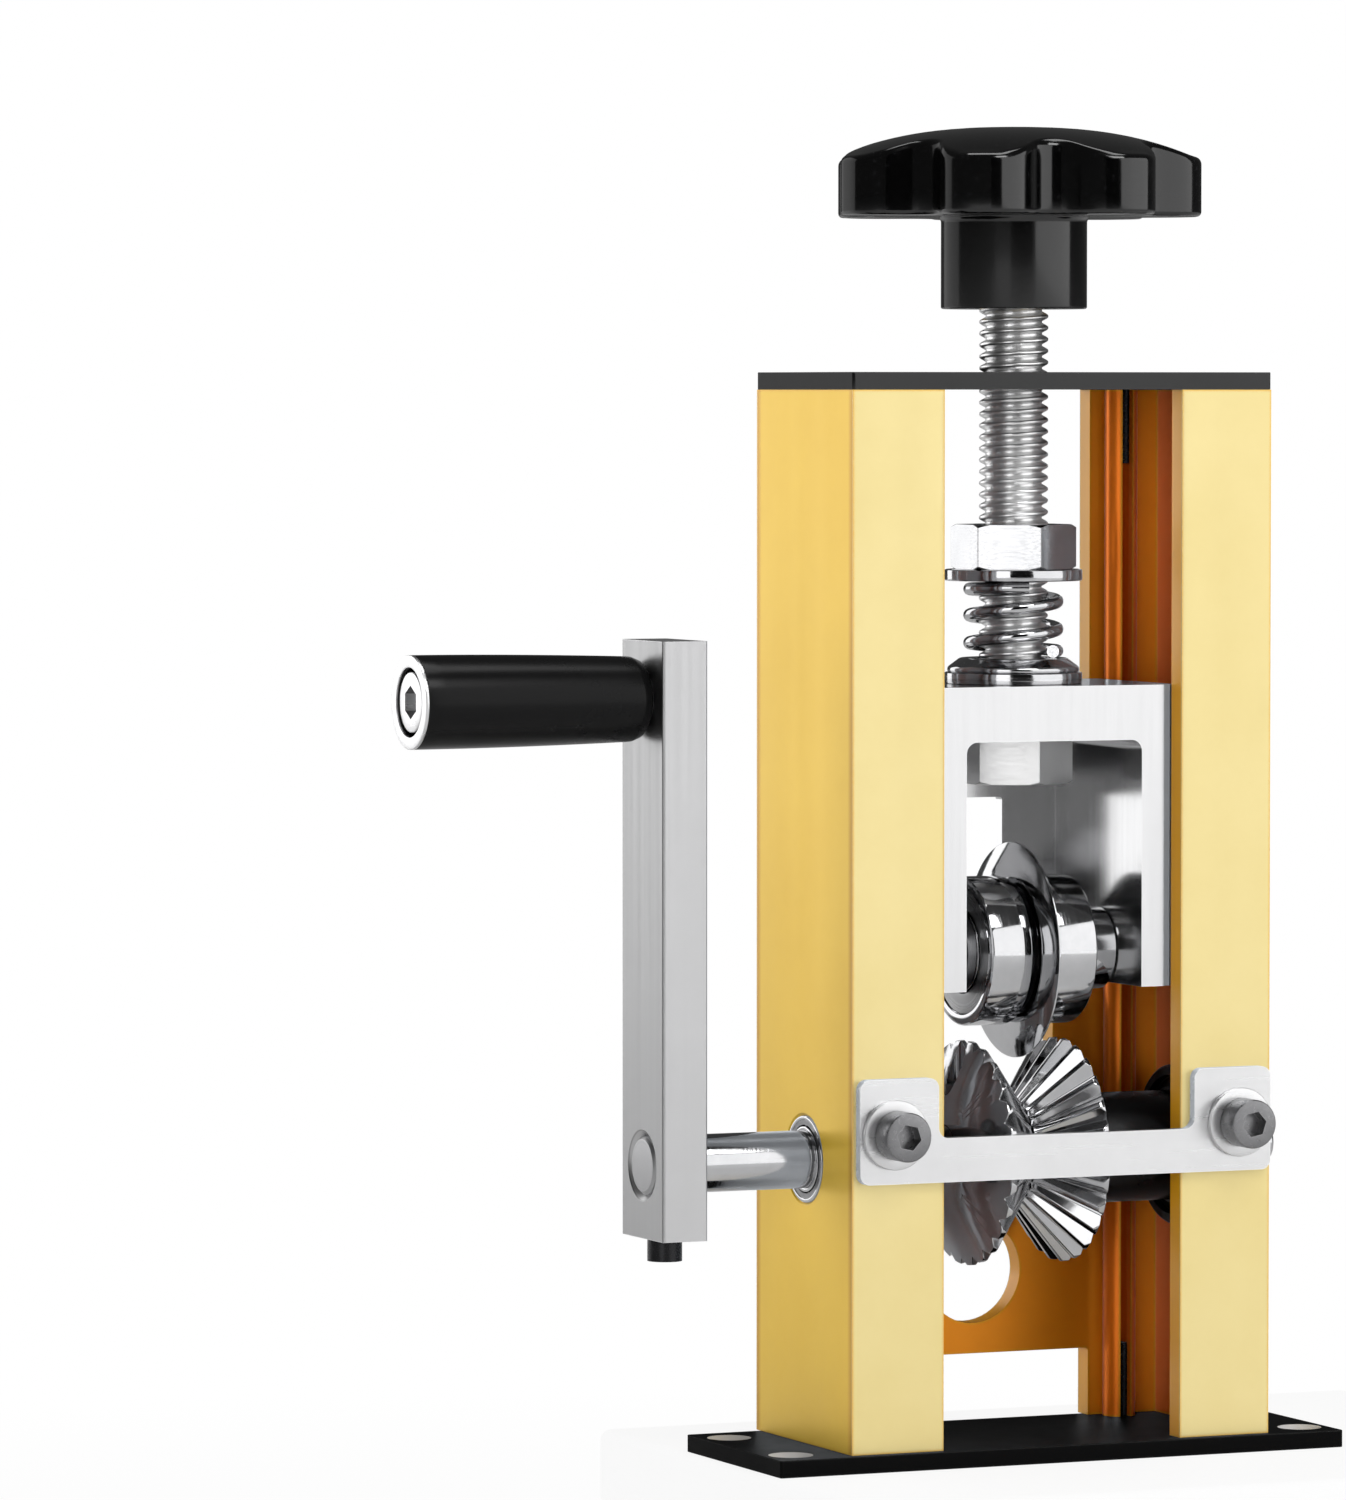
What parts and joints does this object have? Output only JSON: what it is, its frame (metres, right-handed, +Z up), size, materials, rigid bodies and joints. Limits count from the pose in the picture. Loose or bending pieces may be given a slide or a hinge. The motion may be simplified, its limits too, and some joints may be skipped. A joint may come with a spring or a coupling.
{
  "type": "hand crank wire stripper",
  "caption": "Bench wire stripper: gold extruded body on a black base, toothed feed wheels on a crank shaft, a disc blade in a sprung sliding yoke and a star knob on a screw.",
  "frame": {"origin": "on the adjusting screw's axis, at the underside of the base plate", "axes": "+Z up along the adjusting screw, +X along the crank shaft away from the crank, -Y is the front with the guide bar"},
  "size_m": [0.1673, 0.0642, 0.2305],
  "materials": {
    "gold_aluminium": "satin gold anodised",
    "black_plate": "satin black",
    "black_screws": "black oxide",
    "black_housing": "satin black",
    "polished_steel": "mirror polished",
    "guide_steel": "satin polished",
    "arm_steel": "fine satin",
    "dark_steel": "dark oiled",
    "black_plastic": "high gloss",
    "brass_insert": "turned"
  },
  "bodies": {
    "frame": {"base_plate": "black_plate", "base_screws": "black_screws", "body_extrusion": "gold_aluminium", "top_plate": "black_plate", "top_screws": "black_screws", "guide_bar": "guide_steel", "guide_bar_washers": "polished_steel", "guide_bar_screws": "dark_steel", "left_bearing_outer_ring": "polished_steel", "right_bearing_outer_ring": "polished_steel", "wall_bearing_shields": "dark_steel", "wall_bearing_balls": "polished_steel", "right_bearing_housing": "black_housing", "housing_screws": "dark_steel"},
    "crank": {"drive_shaft": "polished_steel", "left_bearing_inner_ring": "polished_steel", "right_bearing_inner_ring": "polished_steel", "left_feed_wheel": "polished_steel", "right_feed_wheel": "polished_steel", "wheel_set_screws": "dark_steel", "shaft_collar": "dark_steel", "collar_set_screw": "dark_steel", "shaft_circlip": "dark_steel", "crank_arm": "arm_steel", "crank_set_screw": "dark_steel", "grip_bolt": "guide_steel"},
    "grip": {"grip_sleeve": "black_plastic", "grip_end_ring": "guide_steel"},
    "spring_carrier": {"upper_spring_washer": "polished_steel", "pressure_spring": "polished_steel"},
    "knob_and_screw": {"adjusting_screw": "polished_steel", "jam_nut": "polished_steel", "star_knob": "black_plastic", "knob_insert": "brass_insert"},
    "yoke": {"yoke": "polished_steel", "lower_spring_washer": "polished_steel", "spring_seat": "polished_steel", "blade_axle": "polished_steel", "axle_set_screws": "dark_steel", "inner_spacers": "guide_steel", "outer_spacers": "guide_steel", "roller_inner_rings": "polished_steel", "roller_balls": "polished_steel"},
    "blade": {"blade_disc": "polished_steel"},
    "left_roller": {"left_roller": "polished_steel", "left_roller_shields": "dark_steel"},
    "right_roller": {"right_roller": "polished_steel", "right_roller_shields": "dark_steel"}
  },
  "joints": [
    {"name": "crank_turn", "type": "hinge", "parent": "frame", "child": "crank", "pos_m": [0, 0, 0.0522], "axis": [1, 0, 0], "continuous": true},
    {"name": "grip_spin", "type": "hinge", "parent": "crank", "child": "grip", "pos_m": [-0.09, 0, 0.1322], "axis": [1, 0, 0], "continuous": true},
    {"name": "screw_feed", "type": "slide", "parent": "frame", "child": "spring_carrier", "axis": [0, 0, 1], "range_m": [-0.0022, 0.022]},
    {"name": "knob_turn", "type": "hinge", "parent": "spring_carrier", "child": "knob_and_screw", "pos_m": [0, 0, 0.2], "axis": [0, 0, 1], "range_deg": [-397, 3961]},
    {"name": "yoke_float", "type": "slide", "parent": "spring_carrier", "child": "yoke", "axis": [0, 0, 1], "range_m": [0, 0.003], "stiffness_N_per_m": 26800, "springref_m": -0.002, "deforming": ["pressure_spring"]},
    {"name": "blade_spin", "type": "hinge", "parent": "yoke", "child": "blade", "pos_m": [0, 0, 0.0874], "axis": [1, 0, 0], "continuous": true},
    {"name": "left_roller_spin", "type": "hinge", "parent": "yoke", "child": "left_roller", "pos_m": [-0.0062, 0, 0.0874], "axis": [1, 0, 0], "continuous": true},
    {"name": "right_roller_spin", "type": "hinge", "parent": "yoke", "child": "right_roller", "pos_m": [0.0062, 0, 0.0874], "axis": [1, 0, 0], "continuous": true}
  ],
  "couplings": [
    {"joint": "knob_turn", "follows": "screw_feed", "rad_per_m": 3141.6}
  ]
}
